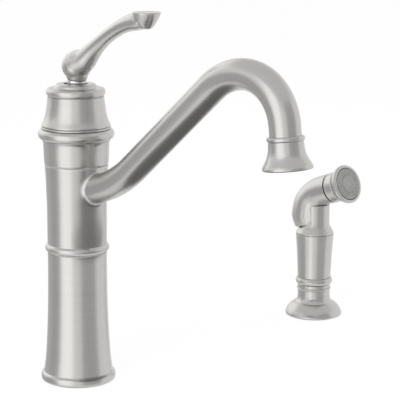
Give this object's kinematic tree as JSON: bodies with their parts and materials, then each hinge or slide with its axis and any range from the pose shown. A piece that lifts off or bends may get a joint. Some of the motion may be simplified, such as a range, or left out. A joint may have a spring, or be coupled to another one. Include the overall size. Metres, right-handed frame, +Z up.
{
  "type": "kitchen faucet with side spray",
  "caption": "Single-lever kitchen faucet with a tall column, arched swivel spout and a separate squeeze-lever side spray in a deck dock.",
  "frame": {"origin": "centre of the faucet's base on the top surface of the deck it is mounted on", "axes": "+Z up, away from the deck; -Y forward, towards the user, along the spout and the lever; +X to the side spray"},
  "size_m": [0.3551, 0.2841, 0.469],
  "materials": {
    "brushed_nickel": "satin brushed nickel",
    "bright_steel": "polished",
    "spray_grey": "satin grey plastic",
    "brass": "machined",
    "copper": "drawn copper",
    "zinc_steel": "zinc plated",
    "white_plastic": "moulded",
    "grey_plastic": "moulded",
    "ceramic": "ground ceramic",
    "black_rubber": "moulded"
  },
  "bodies": {
    "faucet": {"base_column": "brushed_nickel", "base_gasket": "black_rubber", "valve_body": "brass", "mounting_washer": "zinc_steel", "mounting_nut": "zinc_steel", "hot_supply_tube": "copper", "cold_supply_tube": "copper", "spray_supply_tube": "copper", "hot_supply_adapter": "brass", "cold_supply_adapter": "brass", "spray_supply_adapter": "brass", "lower_seal_rings": "black_rubber", "upper_seal_rings": "black_rubber", "lower_glide_ring": "white_plastic", "upper_glide_ring": "white_plastic", "diverter_cage": "white_plastic", "diverter_spring": "zinc_steel", "spout_collar": "brushed_nickel", "trim_ring": "brushed_nickel", "bonnet": "brushed_nickel", "cartridge_seal": "black_rubber", "cartridge_housing": "white_plastic", "fixed_disc": "ceramic", "cartridge_nut": "brass", "dock_flange": "brushed_nickel", "dock_gasket": "black_rubber", "dock_washer": "zinc_steel", "dock_nut": "grey_plastic", "dock_liner": "grey_plastic"},
    "diverter": {"diverter_poppet": "white_plastic"},
    "spout": {"spout_body": "brushed_nickel", "spout_tube": "brushed_nickel", "spout_ring": "brushed_nickel", "spout_bell": "brushed_nickel", "aerator_washer": "black_rubber", "aerator_housing": "white_plastic", "aerator_screen": "white_plastic"},
    "lever_carrier": {"temperature_carrier": "white_plastic", "stem_pin": "zinc_steel"},
    "flow_disc": {"moving_disc": "ceramic", "disc_driver": "white_plastic"},
    "lever": {"lever_stem": "bright_steel", "lever_handle": "brushed_nickel", "set_screw": "zinc_steel"},
    "hose_end": {"hose_coupling": "brass", "coupling_seal": "black_rubber"},
    "wand": {"wand_end_cap": "brushed_nickel", "wand_grip": "brushed_nickel", "wand_head": "brushed_nickel", "valve_seal": "black_rubber", "spray_bezel": "brushed_nickel", "spray_face": "spray_grey", "spray_centre": "spray_grey"},
    "squeeze_lever": {"spray_lever": "brushed_nickel", "lever_pin": "zinc_steel"},
    "valve_plunger": {"plunger": "white_plastic"}
  },
  "joints": [
    {"name": "diverter_lift", "type": "slide", "parent": "faucet", "child": "diverter", "axis": [0, 0, 1], "range_m": [0, 0.003], "stiffness_N_per_m": 120, "springref_m": -0.006, "deforming": ["diverter_spring"]},
    {"name": "spout_swivel", "type": "hinge", "parent": "faucet", "child": "spout", "pos_m": [0, 0, 0.146], "axis": [0, 0, 1], "continuous": true},
    {"name": "lever_turn", "type": "hinge", "parent": "faucet", "child": "lever_carrier", "pos_m": [0, 0, 0.2435], "axis": [0, 0, 1], "range_deg": [-45, 45]},
    {"name": "lever_tilt", "type": "hinge", "parent": "lever_carrier", "child": "lever", "pos_m": [0, 0, 0.2435], "axis": [-1, 0, 0], "range_deg": [0, 20]},
    {"name": "flow_slide", "type": "slide", "parent": "lever_carrier", "child": "flow_disc", "axis": [0, -1, 0], "range_m": [0, 0.0035]},
    {"name": "spray_lift", "type": "slide", "parent": "faucet", "child": "hose_end", "axis": [0, 0, 1], "range_m": [0, 0.15]},
    {"name": "spray_turn", "type": "hinge", "parent": "hose_end", "child": "wand", "pos_m": [0.295, 0, 0.035], "axis": [0, 0, 1], "continuous": true},
    {"name": "spray_squeeze", "type": "hinge", "parent": "wand", "child": "squeeze_lever", "pos_m": [0.295, 0.003, 0.118], "axis": [-1, 0, 0], "range_deg": [0, 4.5], "stiffness_Nm_per_rad": 1, "springref_deg": -5.73},
    {"name": "plunger_push", "type": "slide", "parent": "wand", "child": "valve_plunger", "axis": [0, -1, 0], "range_m": [0, 0.0016]}
  ],
  "couplings": [
    {"joint": "flow_slide", "follows": "lever_tilt", "m_per_rad": 0.00994},
    {"joint": "plunger_push", "follows": "spray_squeeze", "m_per_rad": 0.0203}
  ]
}
